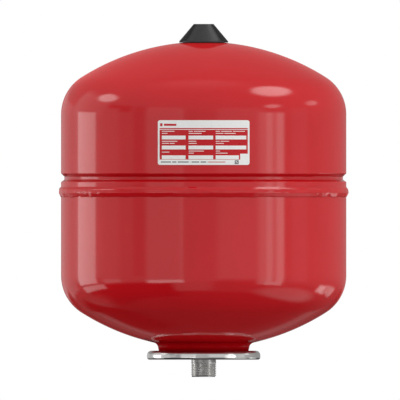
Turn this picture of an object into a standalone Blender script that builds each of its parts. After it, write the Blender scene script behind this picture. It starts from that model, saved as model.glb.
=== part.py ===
"""Expansion vessel for a sealed heating system, hung on its pipe nipple.

Metres, +Z up. The origin is the centre of the nipple's lower end face, and the label faces -Y.
The gas valve's pieces are placed from an empty on top of the dome, and their heights count from there.
"""

import math

import bmesh
import bpy

# Fits
GAP = 0.0003                        # between pieces that touch on the real vessel
WELD_DISTANCE = 1e-6                # joins the first and the last step of a turned shape
SHARP_ANGLE = math.radians(35.0)

# Shells: drawn halves with torispherical heads, crown radius 0.8 D and knuckle radius 0.154 D
SHELL_RADIUS = 0.150
SHELL_WALL = 0.0015
CROWN_RADIUS = 1.6 * SHELL_RADIUS
KNUCKLE_RADIUS = 0.308 * SHELL_RADIUS
KNUCKLE_ANGLE = math.asin((SHELL_RADIUS - KNUCKLE_RADIUS) / (CROWN_RADIUS - KNUCKLE_RADIUS))
HEAD_DEPTH = CROWN_RADIUS - (CROWN_RADIUS - KNUCKLE_RADIUS) * math.cos(KNUCKLE_ANGLE)
LOWER_TANGENT_Z = 0.1067            # where the lower head meets the cylinder
UPPER_TANGENT_Z = 0.2762            # where the cylinder meets the upper head
BOTTOM_Z = LOWER_TANGENT_Z - HEAD_DEPTH
TOP_Z = UPPER_TANGENT_Z + HEAD_DEPTH
SHELL_SEGMENTS = 48

# Seam: the lower shell's lap slides up inside the upper shell, as far as the rolled-in groove
GROOVE_TOP_Z = 0.2148
GROOVE_HEIGHT = 0.0108
GROOVE_DEPTH = 0.0036
LAP_RADIUS = SHELL_RADIUS - SHELL_WALL - GAP
LAP_TOP_Z = 0.2032
JOGGLE_TOP_Z = 0.1942
JOGGLE_BOTTOM_Z = 0.1906
UPPER_EDGE_Z = 0.1952
SEAM_BOTTOM_Z = 0.1896
SEAM_TOP_Z = 0.2010
SEAM_HEIGHT_OUT = 0.0025            # how far the bead stands proud of the shells

# Bottom opening: a drawn neck with a flared lip, clamped in the cover's rolled rim
NECK_FILLET_RADIUS = 0.0516         # where the crown starts to turn down into the neck
NECK_TOP_RADIUS = 0.0494
NECK_TOP_Z = 0.0336
NECK_RADIUS = 0.0469
LIP_BEND = 0.0012                   # radius on the hollow side of the flare
LIP_TOP_Z = 0.0251
LIP_RADIUS = 0.0563

# Cover: a pressed plate, its rim rolled back over the lip and the bladder's rim
COVER_BOTTOM_Z = 0.0182
COVER_TOP_Z = 0.0277
COVER_PLATE = 0.0023
COVER_RADIUS = 0.0596
COVER_CORNER = 0.0032
COVER_ROLL_RADIUS = 0.0492          # where the rolled edge ends, round the neck

# Nipple: G 3/4 parallel pipe thread, drawn at its major diameter
NIPPLE_RADIUS = 0.01322
NIPPLE_BORE_RADIUS = 0.0100
NIPPLE_CHAMFER = 0.0011
NIPPLE_TOP_Z = 0.0223
NIPPLE_WELD_LEG = 0.0035

# Bladder: a balloon with a neck and a clamped rim
BLADDER_WALL = 0.0020
BLADDER_RADIUS = 0.105
BLADDER_CENTRE_Z = 0.130
BLADDER_NECK_RADIUS = 0.0451
BLADDER_RIM_TOP_Z = 0.0233
BLADDER_RIM_THICKNESS = 0.0025
BLADDER_RIM_RADIUS = 0.0565
BLADDER_BEND = 0.0030

# Gas valve, heights above the top of the dome
SOCKET_RADIUS = 0.0100
SOCKET_TOP = 0.0015
SOCKET_BOTTOM = -0.0120
SOCKET_BORE_RADIUS = 0.0051
SOCKET_WELD_LEG = 0.0026
GASKET_BOTTOM = 0.0018
GASKET_TOP = 0.0028
GASKET_RADIUS = 0.0072
HEXAGON_BOTTOM = 0.0031
HEXAGON_TOP = 0.0051
HEXAGON_ACROSS_FLATS = 0.0140
HEXAGON_CORNER_RADIUS = 0.0080      # the corners are turned off slightly
SHANK_RADIUS = 0.0048
STEM_BOTTOM = -0.0110
STEM_TOP = 0.0110
STEM_THREAD_RADIUS = 0.00385        # 8V1 valve thread, drawn at its major diameter
STEM_CHAMFER = 0.0005
STEM_MOUTH_RADIUS = 0.00275
STEM_BORE_RADIUS = 0.00215
STEM_TAPER_TOP = 0.0010
STEM_TAPER_BOTTOM = 0.0

# Valve core, in the bore of the stem
PLUG_RADIUS = 0.0025
PLUG_BORE_RADIUS = 0.00085
PLUG_TOP = 0.0099
PLUG_BOTTOM = 0.0039
PLUG_SLOT_WIDTH = 0.0012
PLUG_SLOT_DEPTH = 0.0016
BARREL_RADIUS = 0.0016
BARREL_BORE_RADIUS = 0.00115
BARREL_TOP = 0.0037
BARREL_BOTTOM = -0.0075
BARREL_LEDGE_RADIUS = 0.00065
BARREL_LEDGE_THICKNESS = 0.0004
CORE_GASKET_BORE_RADIUS = 0.0018
CORE_GASKET_TOP_RADIUS = 0.00245
CORE_GASKET_BOTTOM_RADIUS = 0.00235
CORE_GASKET_TOP = 0.0036
CORE_GASKET_BOTTOM = 0.0012
PIN_RADIUS = 0.0004
PIN_TOP = 0.0106
PIN_BOTTOM = -0.0095
PIN_COLLAR_RADIUS = 0.0010
PIN_COLLAR_TOP = 0.0030
PIN_COLLAR_BOTTOM = 0.0026
WASHER_RADIUS = 0.0015
WASHER_BORE_RADIUS = 0.00065
WASHER_TOP = -0.0078
WASHER_BOTTOM = -0.0084
CUP_RADIUS = 0.0019
CUP_WALL = 0.0002
CUP_TOP = -0.0081
CUP_BOTTOM = -0.0091
CUP_FLOOR_THICKNESS = 0.0005
SPRING_RADIUS = 0.0008              # to the middle of the wire
SPRING_WIRE_RADIUS = 0.00011
SPRING_BOTTOM = -0.0069
SPRING_TOP = 0.0024
SPRING_TURNS = 8
SPRING_STEPS_PER_TURN = 6

# Dust cap on the stem, and the disc that seals it
DUST_CAP_RADIUS = 0.0050
DUST_CAP_BORE_RADIUS = 0.00415
DUST_CAP_BOTTOM = 0.0056
DUST_CAP_TOP = 0.0126
DUST_CAP_CROWN = 0.0008
DUST_CAP_CHAMFER = 0.0006
DUST_SEAL_RADIUS = 0.0039
DUST_SEAL_BOTTOM = 0.01115
DUST_SEAL_TOP = 0.01155

# Protective cap: a hollow cone, held by an inner sleeve that grips the hexagon
CAP_TOP = 0.01865
CAP_TOP_RADIUS = 0.0104
CAP_TOP_ROUND = 0.0006
CAP_LIP_RADIUS = 0.0257
CAP_LIP_TOP = 0.0008
CAP_BOTTOM = -0.0009
CAP_CONE_RADIUS = 0.0254            # the cone's outer radius where it leaves the lip
CAP_WALL_ACROSS = 0.0017            # the cone's wall, measured level
CAP_CEILING = 0.0174
CAP_ANNULUS_TOP = 0.0166            # ceiling between the sleeve and the cone
CAP_SLEEVE_BORE_RADIUS = 0.0084
CAP_SLEEVE_RADIUS = 0.0096
CAP_SLEEVE_BOTTOM = 0.0029

# Label: a thin foil bent round the front
LABEL_HALF_ANGLE = math.radians(18.7)
LABEL_BOTTOM_Z = 0.2230
LABEL_TOP_Z = 0.2700
LABEL_THICKNESS = 0.0003
LABEL_STEPS = 10

COVER_SEGMENTS = 40
CAP_SEGMENTS = 32
BLADDER_SEGMENTS = 24
NIPPLE_SEGMENTS = 32
SMALL_SEGMENTS = 24
TINY_SEGMENTS = 16


# ---------------------------------------------------------------- outlines, as (radius, z) points


def arc(centre, radius, start, end, steps):
    """Points on an arc; the angles turn from straight up towards the outside."""
    points = []
    for step in range(steps + 1):
        angle = start + (end - start) * step / steps
        points.append((centre[0] + radius * math.sin(angle), centre[1] + radius * math.cos(angle)))
    return points


def offset(path, distance):
    """The path moved sideways by distance, to its right as it is walked, with mitred corners."""
    normals = []
    for (r0, z0), (r1, z1) in zip(path, path[1:]):
        length = math.hypot(r1 - r0, z1 - z0)
        normals.append(((z1 - z0) / length, (r0 - r1) / length))
    moved = []
    for index, (r, z) in enumerate(path):
        before = normals[max(index - 1, 0)]
        after = normals[min(index, len(normals) - 1)]
        mitre = 1.0 + before[0] * after[0] + before[1] * after[1]
        moved.append((
            r + distance * (before[0] + after[0]) / mitre,
            z + distance * (before[1] + after[1]) / mitre,
        ))
    return moved


def walled(path, thickness):
    """A closed outline: the path, and back along the other side of a wall of that thickness."""
    return path + offset(path, thickness)[::-1]


def ring(inner_radius, outer_radius, bottom, top):
    """The rectangle that turns into a plain ring."""
    return [(inner_radius, bottom), (outer_radius, bottom), (outer_radius, top), (inner_radius, top)]


# ---------------------------------------------------------------- building helpers


def clear_scene():
    for existing in list(bpy.data.objects):
        bpy.data.objects.remove(existing, do_unlink=True)


def make_material(name, colour, roughness, metallic):
    material = bpy.data.materials.new(name)
    material.use_nodes = True
    shader = material.node_tree.nodes["Principled BSDF"]
    shader.inputs["Base Color"].default_value = (*colour, 1.0)
    shader.inputs["Roughness"].default_value = roughness
    shader.inputs["Metallic"].default_value = metallic
    return material


def add_object(name, data, material, parent=None):
    data.materials.append(material)
    piece = bpy.data.objects.new(name, data)
    piece.parent = parent
    bpy.context.scene.collection.objects.link(piece)
    return piece


def add_bmesh(name, bm, material, parent=None):
    bmesh.ops.recalc_face_normals(bm, faces=bm.faces)
    mesh = bpy.data.meshes.new(name)
    bm.to_mesh(mesh)
    bm.free()
    mesh.shade_smooth()
    mesh.set_sharp_from_angle(angle=SHARP_ANGLE)
    return add_object(name, mesh, material, parent)


def turn(name, outline, segments, material, parent=None):
    """Spin a closed outline about the Z axis; an edge that lies on the axis makes no face."""
    bm = bmesh.new()
    verts = [bm.verts.new((r, 0.0, z)) for r, z in outline]
    edges = []
    for start, end in zip(verts, verts[1:] + verts[:1]):
        if max(start.co.x, end.co.x) > WELD_DISTANCE:
            edges.append(bm.edges.new((start, end)))
    bmesh.ops.spin(
        bm, geom=verts + edges, cent=(0, 0, 0), axis=(0, 0, 1), angle=2 * math.pi, steps=segments
    )
    bmesh.ops.remove_doubles(bm, verts=bm.verts, dist=WELD_DISTANCE)
    return add_bmesh(name, bm, material, parent)


def make_cutter(name, bm, material, parent):
    cutter = add_bmesh(name, bm, material, parent)
    cutter.hide_render = True
    cutter.display_type = "WIRE"
    return cutter


def cut(piece, cutter, operation):
    boolean = piece.modifiers.new(cutter.name, "BOOLEAN")
    boolean.operation = operation
    boolean.solver = "EXACT"
    boolean.object = cutter


# ---------------------------------------------------------------- shells and seam


def make_upper_shell(material):
    """Head with the valve hole, cylinder, rolled-in groove and a plain lower edge."""
    hole_angle = math.asin((SOCKET_RADIUS + GAP) / CROWN_RADIUS)
    crown = arc((0.0, TOP_Z - CROWN_RADIUS), CROWN_RADIUS, hole_angle, KNUCKLE_ANGLE, 4)
    knuckle_centre = (SHELL_RADIUS - KNUCKLE_RADIUS, UPPER_TANGENT_Z)
    knuckle = arc(knuckle_centre, KNUCKLE_RADIUS, KNUCKLE_ANGLE, math.pi / 2, 4)
    groove = []
    groove_steps = 6
    for step in range(groove_steps + 1):
        along = step / groove_steps
        depth = GROOVE_DEPTH * (0.5 - 0.5 * math.cos(2 * math.pi * along))
        groove.append((SHELL_RADIUS - depth, GROOVE_TOP_Z - along * GROOVE_HEIGHT))
    outside = crown + knuckle[1:] + groove + [(SHELL_RADIUS, UPPER_EDGE_Z)]
    turn("upper_shell", walled(outside, SHELL_WALL), SHELL_SEGMENTS, material)


def make_lower_shell(material):
    """Lap, joggle, cylinder, head, and the neck with its flared lip, from the top down."""
    lap = [
        (LAP_RADIUS, LAP_TOP_Z),
        (LAP_RADIUS, JOGGLE_TOP_Z),
        (SHELL_RADIUS, JOGGLE_BOTTOM_Z),
    ]
    knuckle_centre = (SHELL_RADIUS - KNUCKLE_RADIUS, LOWER_TANGENT_Z)
    knuckle = arc(knuckle_centre, KNUCKLE_RADIUS, math.pi / 2, math.pi - KNUCKLE_ANGLE, 4)
    neck_angle = math.pi - math.asin(NECK_FILLET_RADIUS / CROWN_RADIUS)
    crown_centre = (0.0, BOTTOM_Z + CROWN_RADIUS)
    crown = arc(crown_centre, CROWN_RADIUS, math.pi - KNUCKLE_ANGLE, neck_angle, 3)
    bend_centre = (NECK_RADIUS + LIP_BEND, LIP_TOP_Z + LIP_BEND)
    bend = arc(bend_centre, LIP_BEND, -math.pi / 2, -math.pi, 3)
    outside = lap + knuckle + crown[1:] + [(NECK_TOP_RADIUS, NECK_TOP_Z)] + bend
    outside.append((LIP_RADIUS, LIP_TOP_Z))
    turn("lower_shell", walled(outside, SHELL_WALL), SHELL_SEGMENTS, material)


def make_seam_weld(material):
    """Lap weld: a rounded bead outside, and a root in the notch over the joggle."""
    inside_radius = SHELL_RADIUS + GAP
    bead = []
    bead_steps = 6
    for step in range(bead_steps + 1):
        along = step / bead_steps
        out = (SEAM_HEIGHT_OUT - GAP) * math.sin(math.pi * along) ** 0.8
        bead.append((inside_radius + out, SEAM_BOTTOM_Z + along * (SEAM_TOP_Z - SEAM_BOTTOM_Z)))
    notch_z = UPPER_EDGE_Z - GAP
    root = [
        (inside_radius, notch_z),
        (LAP_RADIUS + 1.5 * GAP, notch_z),
        (inside_radius, JOGGLE_BOTTOM_Z + 2 * GAP),
    ]
    turn("seam_weld", bead + root, SHELL_SEGMENTS, material)


# ---------------------------------------------------------------- bottom: cover, nipple, bladder


def make_cover_flange(material):
    """A plate with a centre hole; its rim turns up and back in over the lip."""
    half_turn = math.pi / 2
    low_corner = (COVER_RADIUS - COVER_CORNER, COVER_BOTTOM_Z + COVER_CORNER)
    high_corner = (COVER_RADIUS - COVER_CORNER, COVER_TOP_Z - COVER_CORNER)
    outside = [(COVER_ROLL_RADIUS, COVER_TOP_Z)]
    outside += arc(high_corner, COVER_CORNER, 0.0, half_turn, 2)
    outside += arc(low_corner, COVER_CORNER, half_turn, math.pi, 2)
    outside.append((NIPPLE_RADIUS + GAP, COVER_BOTTOM_Z))
    turn("cover_flange", walled(outside, COVER_PLATE), COVER_SEGMENTS, material)


def make_connection_nipple(material):
    """A tube with a chamfered mouth, open from end to end."""
    outline = [
        (NIPPLE_BORE_RADIUS, 0.0),
        (NIPPLE_RADIUS - NIPPLE_CHAMFER, 0.0),
        (NIPPLE_RADIUS, 1.5 * NIPPLE_CHAMFER),
        (NIPPLE_RADIUS, NIPPLE_TOP_Z),
        (NIPPLE_BORE_RADIUS, NIPPLE_TOP_Z),
    ]
    turn("connection_nipple", outline, NIPPLE_SEGMENTS, material)


def make_nipple_weld(material):
    """Fillet between the nipple and the cover's inner face."""
    foot_z = COVER_BOTTOM_Z + COVER_PLATE + GAP
    inner = NIPPLE_RADIUS + GAP
    outline = [
        (inner, foot_z),
        (inner + NIPPLE_WELD_LEG, foot_z),
        (inner + 0.4 * NIPPLE_WELD_LEG, foot_z + 0.3 * NIPPLE_WELD_LEG),
        (inner, NIPPLE_TOP_Z - GAP),
    ]
    turn("nipple_weld", outline, NIPPLE_SEGMENTS, material)


def make_bladder(material):
    """Rim, bend and neck inside the shell's neck, then the balloon, closed at the top."""
    bend_centre = (BLADDER_NECK_RADIUS + BLADDER_BEND, BLADDER_RIM_TOP_Z + BLADDER_BEND)
    bend = arc(bend_centre, BLADDER_BEND, -math.pi, -math.pi / 2, 3)
    mouth_angle = math.pi - math.asin(BLADDER_NECK_RADIUS / BLADDER_RADIUS)
    balloon = arc((0.0, BLADDER_CENTRE_Z), BLADDER_RADIUS, mouth_angle, 0.0, 12)
    outside = [(BLADDER_RIM_RADIUS, BLADDER_RIM_TOP_Z)] + bend + balloon
    inside = offset(outside, -BLADDER_WALL)
    rim_bottom_z = BLADDER_RIM_TOP_Z - BLADDER_RIM_THICKNESS
    inside[0] = (BLADDER_RIM_RADIUS, rim_bottom_z)
    inside[1] = (inside[1][0], rim_bottom_z)
    inside[-1] = (0.0, inside[-1][1])
    turn("bladder", outside[:-1] + [(0.0, outside[-1][1])] + inside[::-1], BLADDER_SEGMENTS, material)


# ---------------------------------------------------------------- gas valve


def make_valve_socket(material, valve):
    outline = ring(SOCKET_BORE_RADIUS, SOCKET_RADIUS, SOCKET_BOTTOM, SOCKET_TOP)
    turn("valve_socket", outline, SMALL_SEGMENTS, material, valve)


def make_socket_weld(material, valve):
    """Fillet between the socket and the dome."""
    inner = SOCKET_RADIUS + GAP
    outline = [
        (inner, GAP / 2),
        (inner + SOCKET_WELD_LEG, GAP / 2),
        (inner + 0.4 * SOCKET_WELD_LEG, 0.3 * SOCKET_WELD_LEG),
        (inner, SOCKET_TOP - GAP),
    ]
    turn("socket_weld", outline, SMALL_SEGMENTS, material, valve)


def make_stem_gasket(material, valve):
    outline = ring(SOCKET_BORE_RADIUS, GASKET_RADIUS, GASKET_BOTTOM, GASKET_TOP)
    turn("stem_gasket", outline, SMALL_SEGMENTS, material, valve)


def make_valve_stem(material, valve):
    """Shank, hexagon and threaded end round a stepped bore."""
    outline = [
        (STEM_BORE_RADIUS, STEM_BOTTOM),
        (SHANK_RADIUS, STEM_BOTTOM),
        (SHANK_RADIUS, HEXAGON_BOTTOM),
        (HEXAGON_CORNER_RADIUS, HEXAGON_BOTTOM),
        (HEXAGON_CORNER_RADIUS, HEXAGON_TOP),
        (STEM_THREAD_RADIUS, HEXAGON_TOP),
        (STEM_THREAD_RADIUS, STEM_TOP - STEM_CHAMFER),
        (STEM_THREAD_RADIUS - STEM_CHAMFER, STEM_TOP),
        (STEM_MOUTH_RADIUS, STEM_TOP),
        (STEM_MOUTH_RADIUS, STEM_TAPER_TOP),
        (STEM_BORE_RADIUS, STEM_TAPER_BOTTOM),
    ]
    stem = turn("valve_stem", outline, SMALL_SEGMENTS, material, valve)
    corner_radius = HEXAGON_ACROSS_FLATS / 2 / math.cos(math.pi / 6)
    bm = bmesh.new()
    bmesh.ops.create_cone(
        bm, cap_ends=True, segments=6, radius1=corner_radius, radius2=corner_radius,
        depth=4 * STEM_TOP,
    )
    cut(stem, make_cutter("hexagon_cutter", bm, material, valve), "INTERSECT")


def make_core_plug(material, valve):
    """A screwed ring with a slot for the tool across its top."""
    outline = ring(PLUG_BORE_RADIUS, PLUG_RADIUS, PLUG_BOTTOM, PLUG_TOP)
    plug = turn("core_plug", outline, TINY_SEGMENTS, material, valve)
    bm = bmesh.new()
    bmesh.ops.create_cube(bm, size=1.0)
    bmesh.ops.scale(bm, vec=(4 * PLUG_RADIUS, PLUG_SLOT_WIDTH, 2 * PLUG_SLOT_DEPTH), verts=bm.verts)
    bmesh.ops.translate(bm, vec=(0.0, 0.0, PLUG_TOP), verts=bm.verts)
    cut(plug, make_cutter("slot_cutter", bm, material, valve), "DIFFERENCE")


def make_core_barrel(material, valve):
    """A tube with a ledge at its lower end, where the spring stands."""
    outline = [
        (BARREL_LEDGE_RADIUS, BARREL_BOTTOM),
        (BARREL_RADIUS, BARREL_BOTTOM),
        (BARREL_RADIUS, BARREL_TOP),
        (BARREL_BORE_RADIUS, BARREL_TOP),
        (BARREL_BORE_RADIUS, BARREL_BOTTOM + BARREL_LEDGE_THICKNESS),
        (BARREL_LEDGE_RADIUS, BARREL_BOTTOM + BARREL_LEDGE_THICKNESS),
    ]
    turn("core_barrel", outline, TINY_SEGMENTS, material, valve)


def make_core_gasket(material, valve):
    outline = [
        (CORE_GASKET_BORE_RADIUS, CORE_GASKET_BOTTOM),
        (CORE_GASKET_BOTTOM_RADIUS, CORE_GASKET_BOTTOM),
        (CORE_GASKET_TOP_RADIUS, CORE_GASKET_TOP),
        (CORE_GASKET_BORE_RADIUS, CORE_GASKET_TOP),
    ]
    turn("core_gasket", outline, TINY_SEGMENTS, material, valve)


def make_core_pin(material, valve):
    """A round pin with a collar that the spring pushes up."""
    outline = [
        (0.0, PIN_BOTTOM),
        (PIN_RADIUS, PIN_BOTTOM),
        (PIN_RADIUS, PIN_COLLAR_BOTTOM),
        (PIN_COLLAR_RADIUS, PIN_COLLAR_BOTTOM),
        (PIN_COLLAR_RADIUS, PIN_COLLAR_TOP),
        (PIN_RADIUS, PIN_COLLAR_TOP),
        (PIN_RADIUS, PIN_TOP),
        (0.0, PIN_TOP),
    ]
    turn("core_pin", outline, TINY_SEGMENTS, material, valve)


def make_core_cup(material, valve):
    """A shallow cup on the pin's lower end, round the seat washer."""
    floor_top = CUP_BOTTOM + CUP_FLOOR_THICKNESS
    outline = [
        (WASHER_BORE_RADIUS, CUP_BOTTOM),
        (CUP_RADIUS, CUP_BOTTOM),
        (CUP_RADIUS, CUP_TOP),
        (CUP_RADIUS - CUP_WALL, CUP_TOP),
        (CUP_RADIUS - CUP_WALL, floor_top),
        (WASHER_BORE_RADIUS, floor_top),
    ]
    turn("core_cup", outline, TINY_SEGMENTS, material, valve)


def make_core_seat_washer(material, valve):
    outline = ring(WASHER_BORE_RADIUS, WASHER_RADIUS, WASHER_BOTTOM, WASHER_TOP)
    turn("core_seat_washer", outline, TINY_SEGMENTS, material, valve)


def make_core_spring(material, valve):
    """A coil of round wire between the barrel's ledge and the pin's collar."""
    curve = bpy.data.curves.new("core_spring", "CURVE")
    curve.dimensions = "3D"
    curve.bevel_depth = SPRING_WIRE_RADIUS
    curve.bevel_resolution = 1
    curve.use_fill_caps = True
    steps = SPRING_TURNS * SPRING_STEPS_PER_TURN
    spline = curve.splines.new("POLY")
    spline.points.add(steps)
    for step, point in enumerate(spline.points):
        angle = 2 * math.pi * step / SPRING_STEPS_PER_TURN
        height = SPRING_BOTTOM + (SPRING_TOP - SPRING_BOTTOM) * step / steps
        point.co = (SPRING_RADIUS * math.cos(angle), SPRING_RADIUS * math.sin(angle), height, 1.0)
    add_object("core_spring", curve, material, valve)


def make_dust_cap(material, valve):
    ceiling = DUST_CAP_TOP - DUST_CAP_CROWN
    outline = [
        (0.0, DUST_CAP_TOP),
        (DUST_CAP_RADIUS - DUST_CAP_CHAMFER, DUST_CAP_TOP),
        (DUST_CAP_RADIUS, DUST_CAP_TOP - DUST_CAP_CHAMFER),
        (DUST_CAP_RADIUS, DUST_CAP_BOTTOM),
        (DUST_CAP_BORE_RADIUS, DUST_CAP_BOTTOM),
        (DUST_CAP_BORE_RADIUS, ceiling),
        (0.0, ceiling),
    ]
    turn("dust_cap", outline, SMALL_SEGMENTS, material, valve)


def make_dust_cap_seal(material, valve):
    outline = ring(0.0, DUST_SEAL_RADIUS, DUST_SEAL_BOTTOM, DUST_SEAL_TOP)
    turn("dust_cap_seal", outline, SMALL_SEGMENTS, material, valve)


def make_protective_cap(material, valve):
    """Hollow cone with a lip round its foot and a sleeve hanging from its ceiling."""
    slope = (CAP_CONE_RADIUS - CAP_TOP_RADIUS) / (CAP_TOP - CAP_LIP_TOP)

    def inside_cone(height):
        return CAP_CONE_RADIUS - slope * (height - CAP_LIP_TOP) - CAP_WALL_ACROSS

    outline = [
        (0.0, CAP_TOP),
        (CAP_TOP_RADIUS - CAP_TOP_ROUND, CAP_TOP),
        (CAP_TOP_RADIUS + slope * CAP_TOP_ROUND, CAP_TOP - CAP_TOP_ROUND),
        (CAP_CONE_RADIUS, CAP_LIP_TOP),
        (CAP_LIP_RADIUS, CAP_LIP_TOP),
        (CAP_LIP_RADIUS, CAP_BOTTOM),
        (inside_cone(CAP_BOTTOM), CAP_BOTTOM),
        (inside_cone(CAP_ANNULUS_TOP), CAP_ANNULUS_TOP),
        (CAP_SLEEVE_RADIUS, CAP_ANNULUS_TOP),
        (CAP_SLEEVE_RADIUS, CAP_SLEEVE_BOTTOM),
        (CAP_SLEEVE_BORE_RADIUS, CAP_SLEEVE_BOTTOM),
        (CAP_SLEEVE_BORE_RADIUS, CAP_CEILING),
        (0.0, CAP_CEILING),
    ]
    turn("protective_cap", outline, CAP_SEGMENTS, material, valve)


# ---------------------------------------------------------------- label


def make_rating_label(material):
    """A strip bent round the shell's front, thickened outwards."""
    radius = SHELL_RADIUS + GAP
    bm = bmesh.new()
    low = []
    for step in range(LABEL_STEPS + 1):
        angle = LABEL_HALF_ANGLE * (2 * step / LABEL_STEPS - 1)
        across = radius * math.sin(angle)
        low.append(bm.verts.new((across, -radius * math.cos(angle), LABEL_BOTTOM_Z)))
    edges = [bm.edges.new(pair) for pair in zip(low, low[1:])]
    raised = bmesh.ops.extrude_edge_only(bm, edges=edges)["geom"]
    top = [item for item in raised if isinstance(item, bmesh.types.BMVert)]
    bmesh.ops.translate(bm, vec=(0.0, 0.0, LABEL_TOP_Z - LABEL_BOTTOM_Z), verts=top)
    label = add_bmesh("rating_label", bm, material)
    solidify = label.modifiers.new("foil", "SOLIDIFY")
    solidify.thickness = LABEL_THICKNESS
    solidify.offset = 1.0


# ---------------------------------------------------------------- assembly


def build():
    clear_scene()
    red_coat = make_material("red_coat", (0.60, 0.018, 0.022), 0.22, 0.0)
    galvanised = make_material("galvanised_steel", (0.55, 0.54, 0.52), 0.42, 1.0)
    turned_steel = make_material("turned_steel", (0.42, 0.41, 0.40), 0.38, 1.0)
    brass = make_material("brass", (0.72, 0.55, 0.28), 0.30, 1.0)
    spring_steel = make_material("spring_steel", (0.50, 0.50, 0.50), 0.30, 1.0)
    rubber = make_material("black_rubber", (0.020, 0.020, 0.022), 0.70, 0.0)
    plastic = make_material("black_plastic", (0.055, 0.055, 0.060), 0.48, 0.0)
    foil = make_material("label_foil", (0.78, 0.78, 0.76), 0.35, 0.0)

    make_upper_shell(red_coat)
    make_lower_shell(red_coat)
    make_seam_weld(red_coat)
    make_cover_flange(galvanised)
    make_connection_nipple(turned_steel)
    make_nipple_weld(turned_steel)
    make_bladder(rubber)
    make_rating_label(foil)

    valve = bpy.data.objects.new("valve_axis", None)
    valve.location = (0.0, 0.0, TOP_Z)
    bpy.context.scene.collection.objects.link(valve)
    make_valve_socket(turned_steel, valve)
    make_socket_weld(turned_steel, valve)
    make_stem_gasket(rubber, valve)
    make_valve_stem(brass, valve)
    make_core_plug(brass, valve)
    make_core_barrel(brass, valve)
    make_core_gasket(rubber, valve)
    make_core_pin(brass, valve)
    make_core_cup(brass, valve)
    make_core_seat_washer(rubber, valve)
    make_core_spring(spring_steel, valve)
    make_dust_cap(plastic, valve)
    make_dust_cap_seal(rubber, valve)
    make_protective_cap(plastic, valve)


build()
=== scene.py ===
"""Looks of the expansion vessel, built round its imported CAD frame.

Metres, +Z up, as in the frame: the vessel's axis is Z, its nipple ends at z = 0, and the label faces -Y.
Every turned piece starts as an outline of complex numbers, radius + height * 1j.
"""
import cmath
import math

import bmesh
import bpy
import numpy as np
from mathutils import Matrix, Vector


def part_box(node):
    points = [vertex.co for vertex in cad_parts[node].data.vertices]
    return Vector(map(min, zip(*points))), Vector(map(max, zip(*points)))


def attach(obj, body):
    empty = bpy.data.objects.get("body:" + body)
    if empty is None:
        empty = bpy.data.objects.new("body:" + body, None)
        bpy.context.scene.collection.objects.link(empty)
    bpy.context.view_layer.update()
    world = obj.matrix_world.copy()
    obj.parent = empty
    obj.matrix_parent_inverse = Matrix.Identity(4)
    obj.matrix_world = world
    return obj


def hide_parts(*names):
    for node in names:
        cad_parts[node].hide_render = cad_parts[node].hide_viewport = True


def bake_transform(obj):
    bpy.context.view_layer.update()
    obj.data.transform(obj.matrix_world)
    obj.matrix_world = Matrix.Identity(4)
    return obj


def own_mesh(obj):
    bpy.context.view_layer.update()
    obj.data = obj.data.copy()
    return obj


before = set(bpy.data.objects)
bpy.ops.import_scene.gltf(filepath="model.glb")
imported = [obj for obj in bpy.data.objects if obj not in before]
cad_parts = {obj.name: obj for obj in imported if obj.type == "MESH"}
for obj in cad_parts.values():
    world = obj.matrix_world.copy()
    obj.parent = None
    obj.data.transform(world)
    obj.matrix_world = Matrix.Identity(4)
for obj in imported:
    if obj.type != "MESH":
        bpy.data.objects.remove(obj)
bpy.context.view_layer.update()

MM = 0.001
SHARP_ANGLE = math.radians(32.0)
WELD_DISTANCE = 1e-7
LOOK = "_look"      # follows the slot's name in a material's name, as the CAD has one of the plain name

# Shells, from the frame's boxes and the heads' proportions
SHELL_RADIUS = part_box("upper_shell")[1].x
SHELL_WALL = 1.5 * MM
CROWN_RADIUS = 1.6 * SHELL_RADIUS
KNUCKLE_RADIUS = 0.308 * SHELL_RADIUS
KNUCKLE_ANGLE = math.asin((SHELL_RADIUS - KNUCKLE_RADIUS) / (CROWN_RADIUS - KNUCKLE_RADIUS))
HEAD_DEPTH = CROWN_RADIUS - (CROWN_RADIUS - KNUCKLE_RADIUS) * math.cos(KNUCKLE_ANGLE)
LOWER_TANGENT_Z = 106.7 * MM
UPPER_TANGENT_Z = 276.2 * MM
BOTTOM_Z = LOWER_TANGENT_Z - HEAD_DEPTH
TOP_Z = UPPER_TANGENT_Z + HEAD_DEPTH
UPPER_EDGE_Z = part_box("upper_shell")[0].z
GROOVE_TOP_Z = 214.0 * MM
GROOVE_BOTTOM_Z = 205.1 * MM
GROOVE_DEPTH = 3.5 * MM
LAP_RADIUS = SHELL_RADIUS - 1.8 * MM
LAP_TOP_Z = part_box("lower_shell")[1].z

# Seam weld
BEAD_BOTTOM_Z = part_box("seam_weld")[0].z
BEAD_TOP_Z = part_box("seam_weld")[1].z
BEAD_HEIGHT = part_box("seam_weld")[1].x - SHELL_RADIUS
# Stretches of rippled bead as (angle from the front, half width, strength); angles in degrees towards +X
WELD_RIPPLES = (
    (-54, 11, 1.0), (-73, 8, 0.5), (31, 6, 0.4), (59, 8, 1.0), (76, 9, 0.6),
    (118, 13, 0.9), (158, 8, 0.6), (-160, 12, 1.0), (-118, 9, 0.7),
)

# Neck and cover
LIP_RADIUS = 56.3 * MM
LIP_TOP_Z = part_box("lower_shell")[0].z + SHELL_WALL
COVER_BOTTOM_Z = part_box("cover_flange")[0].z
COVER_TOP_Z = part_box("cover_flange")[1].z
COVER_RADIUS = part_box("cover_flange")[1].x
COVER_PLATE = 2.3 * MM

# Nipple: G 3/4 thread, 14 threads to the inch
NIPPLE_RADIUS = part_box("connection_nipple")[1].x
NIPPLE_TOP_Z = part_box("connection_nipple")[1].z
NIPPLE_BORE = 10.0 * MM
THREAD_PITCH = 25.4 * MM / 14
THREAD_DEPTH = 0.640327 * THREAD_PITCH
THREAD_END_Z = 15.4 * MM

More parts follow.
